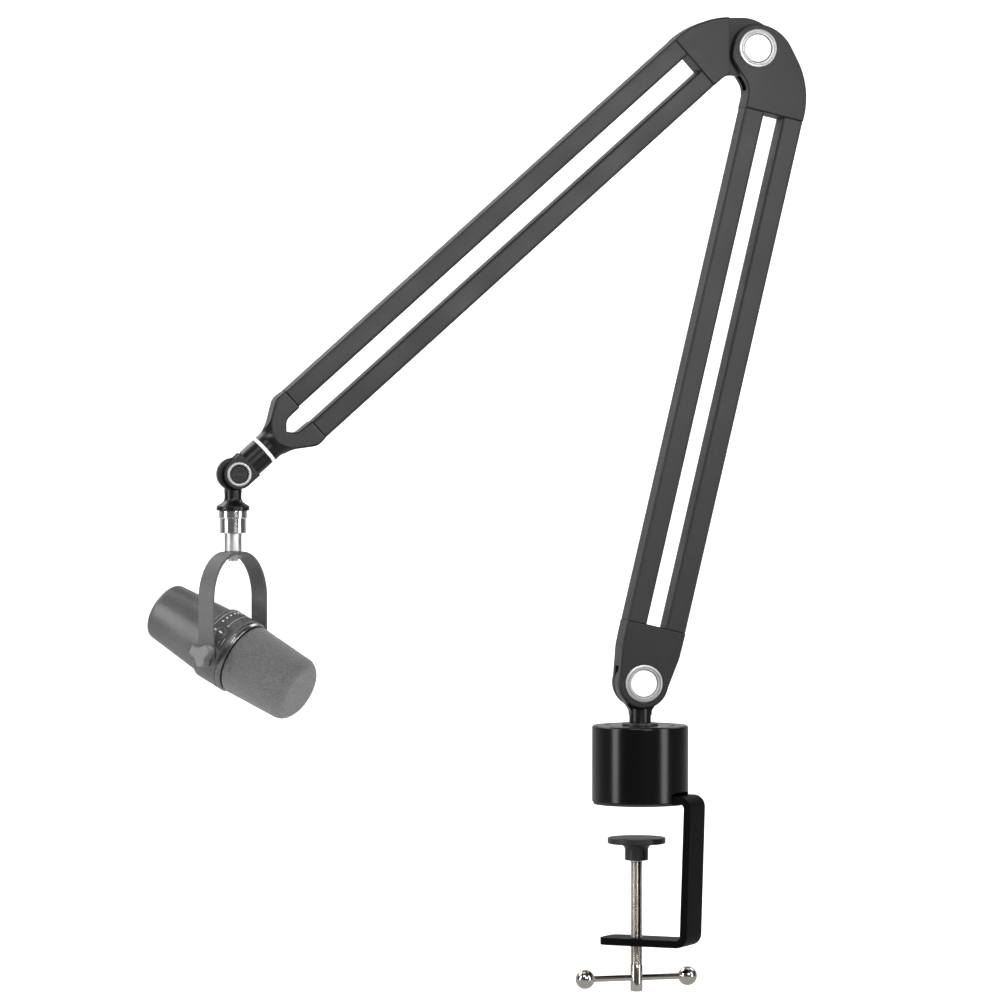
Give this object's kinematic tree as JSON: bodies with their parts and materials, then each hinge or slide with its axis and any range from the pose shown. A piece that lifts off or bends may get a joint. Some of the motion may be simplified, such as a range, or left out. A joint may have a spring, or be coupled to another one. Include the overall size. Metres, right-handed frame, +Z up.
{
  "type": "microphone on desk clamp boom arm",
  "caption": "Broadcast condenser microphone in a U yoke, hung from a folding twin-channel boom arm on a swivel base with a desk clamp.",
  "frame": {"origin": "on the swivel axis, at the underside of the base where it stands on the desk", "axes": "+Z up along the swivel axis; at rest the arm folds in the XZ plane with the microphone at -X; -Y is the front"},
  "size_m": [0.4277, 0.0943, 0.6343],
  "materials": {
    "arm_black": "satin black powder coat, fine texture",
    "bracket_black": "moulded black, satin",
    "base_black": "satin black powder coat on a cast cup",
    "bar_black": "satin black coated flat bar",
    "bush_black": "moulded bearing plastic",
    "foot_rubber": "matt black rubber",
    "pad_plastic": "dark grey moulded plastic",
    "nickel": "polished nickel plate",
    "steel": "zinc plated steel",
    "silver_ring": "turned aluminium, satin",
    "cap_white": "off-white moulded cap",
    "cap_texture": "dark fine textured cap",
    "nylon": "natural white nylon",
    "mic_grey": "satin mid grey coat",
    "mic_strap": "satin mid grey coat on flat steel",
    "panel_grey": "smooth dark grey touch surface",
    "light_white": "clear light pipe, lit",
    "knob_grey": "moulded grey knob",
    "foam": "open cell grey foam",
    "mesh_steel": "fine steel mesh",
    "capsule_gold": "gold sputtered diaphragm in a brass ring",
    "board_green": "solder masked board"
  },
  "bodies": {
    "base": {"base_housing": "base_black", "foot_pad": "foot_rubber", "swivel_bushing": "bush_black", "clamp_bracket": "bar_black", "bracket_screws": "steel"},
    "post": {"swivel_post": "base_black", "thrust_washer": "nylon", "retaining_ring": "steel"},
    "clamp_foot": {"clamp_pad": "pad_plastic"},
    "spindle": {"clamp_screw": "nickel"},
    "handle": {"handle_bar": "nickel", "handle_balls": "nickel"},
    "lower_arm": {"lower_clevis": "bracket_black", "elbow_fork": "bracket_black", "lower_channel_inner": "arm_black", "lower_channel_outer": "arm_black", "lower_springs": "steel", "lower_anchor_pins": "steel", "hinge_bolts": "steel", "hinge_nuts": "steel", "hinge_washers": "nylon", "lower_hinge_rings": "silver_ring", "lower_hinge_discs": "cap_white", "elbow_rings": "silver_ring", "elbow_discs": "cap_white"},
    "upper_arm": {"elbow_tongue": "bracket_black", "upper_channel_inner": "arm_black", "upper_channel_outer": "arm_black", "upper_springs": "steel", "upper_anchor_pins": "steel", "arm_yoke": "bracket_black", "head_bolt": "steel", "head_nut": "steel"},
    "head": {"head_barrel": "bracket_black", "head_washer": "nylon", "tilt_bolt": "steel", "tilt_nut": "steel", "tilt_caps": "cap_texture"},
    "stem": {"stem": "bracket_black"},
    "mic_mount": {"thread_sleeve": "nickel", "mic_post": "mic_strap", "yoke_nut": "steel", "mic_yoke": "mic_strap"},
    "microphone": {"mic_body": "mic_grey", "back_cap": "mic_grey", "mic_collar": "mic_grey", "control_panel": "panel_grey", "status_lights": "light_white", "trim_ring": "nickel", "grille_basket": "mesh_steel", "windscreen": "foam", "capsule": "capsule_gold", "capsule_holder": "foot_rubber", "capsule_post": "bush_black", "circuit_board": "board_green", "usb_socket": "steel", "pivot_washers": "foot_rubber"},
    "left_knob": {"left_thumb_screw": "knob_grey"},
    "right_knob": {"right_thumb_screw": "knob_grey"},
    "mute_key": {"mute_button": "panel_grey"}
  },
  "joints": [
    {"name": "base_swivel", "type": "hinge", "parent": "base", "child": "post", "pos_m": [0, 0, 0.05], "axis": [0, 0, 1], "continuous": true},
    {"name": "lower_hinge", "type": "hinge", "parent": "post", "child": "lower_arm", "pos_m": [0, 0, 0.0789], "axis": [0, 1, 0], "range_deg": [-60, 45], "stiffness_Nm_per_rad": 2, "springref_deg": 32.97},
    {"name": "elbow_hinge", "type": "hinge", "parent": "lower_arm", "child": "upper_arm", "pos_m": [0.07553, 0, 0.49156], "axis": [0, 1, 0], "range_deg": [-18, 110], "stiffness_Nm_per_rad": 3, "springref_deg": 40.91},
    {"name": "head_swivel", "type": "hinge", "parent": "upper_arm", "child": "head", "pos_m": [-0.24593, 0, 0.23143], "axis": [-0.7449, 0, -0.6672], "range_deg": [-180, 180]},
    {"name": "head_tilt", "type": "hinge", "parent": "head", "child": "stem", "pos_m": [-0.26395, 0, 0.21528], "axis": [0, 1, 0], "range_deg": [-40, 135]},
    {"name": "mic_swivel", "type": "hinge", "parent": "stem", "child": "mic_mount", "pos_m": [-0.26685, 0, 0.18528], "axis": [0, 0, 1], "continuous": true},
    {"name": "mic_tilt", "type": "hinge", "parent": "mic_mount", "child": "microphone", "pos_m": [-0.26685, 0, 0.10108], "axis": [0.6361, 0.7716, 0], "range_deg": [-86, 33]},
    {"name": "left_knob_turn", "type": "hinge", "parent": "microphone", "child": "left_knob", "pos_m": [-0.2923, -0.03087, 0.10108], "axis": [-0.6361, -0.7716, 0], "continuous": true},
    {"name": "right_knob_turn", "type": "hinge", "parent": "microphone", "child": "right_knob", "pos_m": [-0.24141, 0.03087, 0.10108], "axis": [0.6361, 0.7716, 0], "continuous": true},
    {"name": "mute_press", "type": "slide", "parent": "microphone", "child": "mute_key", "axis": [0.3355, 0.7979, -0.5009], "range_m": [0, 0.0006], "stiffness_N_per_m": 30},
    {"name": "clamp_travel", "type": "slide", "parent": "base", "child": "clamp_foot", "axis": [0, 0, 1], "range_m": [-0.047, 0.014]},
    {"name": "screw_turn", "type": "hinge", "parent": "clamp_foot", "child": "spindle", "pos_m": [-0.00205, 0.00143, 0], "axis": [0, 0, 1], "continuous": true},
    {"name": "handle_slide", "type": "slide", "parent": "spindle", "child": "handle", "axis": [0.9925, 0.1219, 0], "range_m": [-0.024, 0.024]}
  ],
  "couplings": [
    {"joint": "screw_turn", "follows": "clamp_travel", "rad_per_m": 5026.5}
  ]
}
